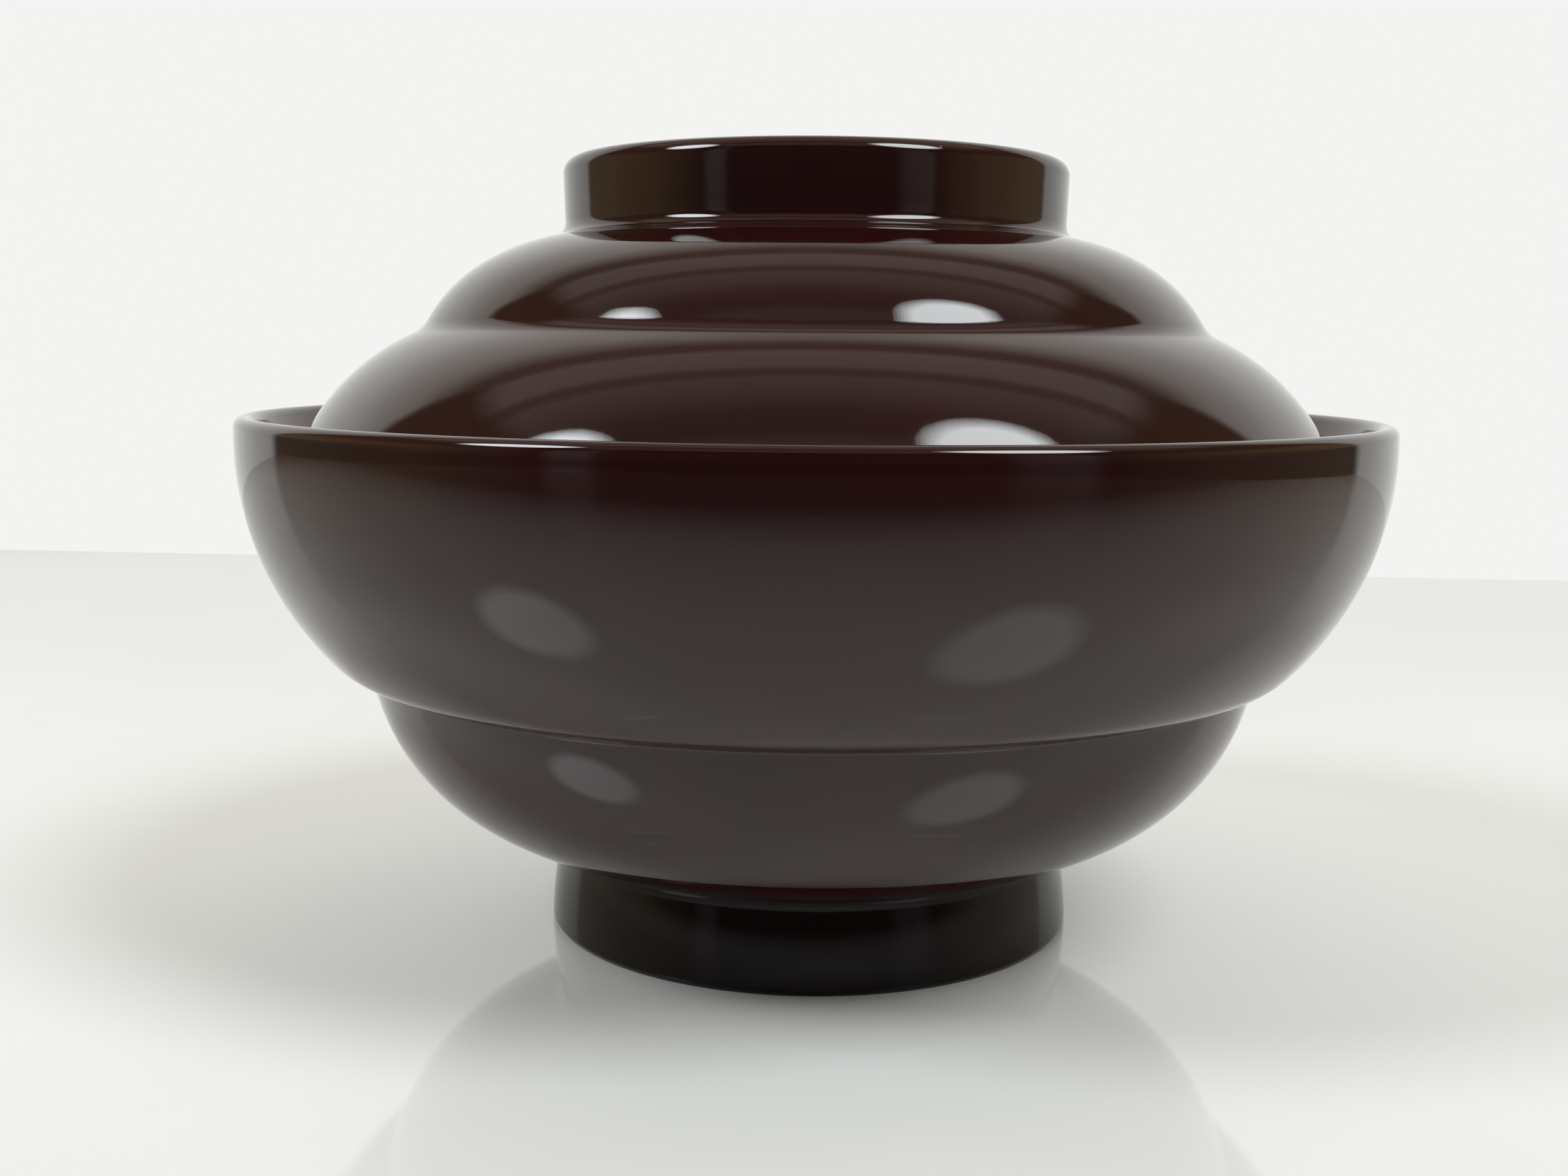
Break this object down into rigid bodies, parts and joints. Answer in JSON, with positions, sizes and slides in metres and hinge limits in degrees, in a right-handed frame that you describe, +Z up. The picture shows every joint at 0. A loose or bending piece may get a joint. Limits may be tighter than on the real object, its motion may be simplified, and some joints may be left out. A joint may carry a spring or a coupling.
{
  "type": "lidded soup bowl",
  "caption": "Turned lacquered soup bowl on a foot ring, with a waisted body and a domed, stepped lid with a ring grip that seats inside the rim.",
  "frame": {"origin": "centre of the foot ring on the table", "axes": "+Z up along the axis that the bowl and the lid are turned about; X and Y are free, since both are round"},
  "size_m": [0.13, 0.13, 0.0882],
  "materials": {
    "turned_wood": "turned and sealed, wholly under lacquer",
    "outer_lacquer": "deep red-brown lacquer, high gloss",
    "inner_lacquer": "deep red-brown lacquer, high gloss, a little redder than outside",
    "edge_lacquer": "deep red-brown lacquer, dulled by standing"
  },
  "bodies": {
    "bowl": {"bowl_core": "turned_wood", "bowl_outer_lacquer": "outer_lacquer", "bowl_inner_lacquer": "inner_lacquer", "bowl_foot_recess_lacquer": "outer_lacquer", "bowl_foot_edge_lacquer": "edge_lacquer"},
    "lid": {"lid_core": "turned_wood", "lid_outer_lacquer": "outer_lacquer", "lid_inner_lacquer": "inner_lacquer", "lid_ring_recess_lacquer": "outer_lacquer", "lid_ring_edge_lacquer": "edge_lacquer"}
  },
  "joints": [
    {"name": "lid_lift", "type": "slide", "parent": "bowl", "child": "lid", "axis": [0, 0, 1], "range_m": [0, 0.12]}
  ]
}
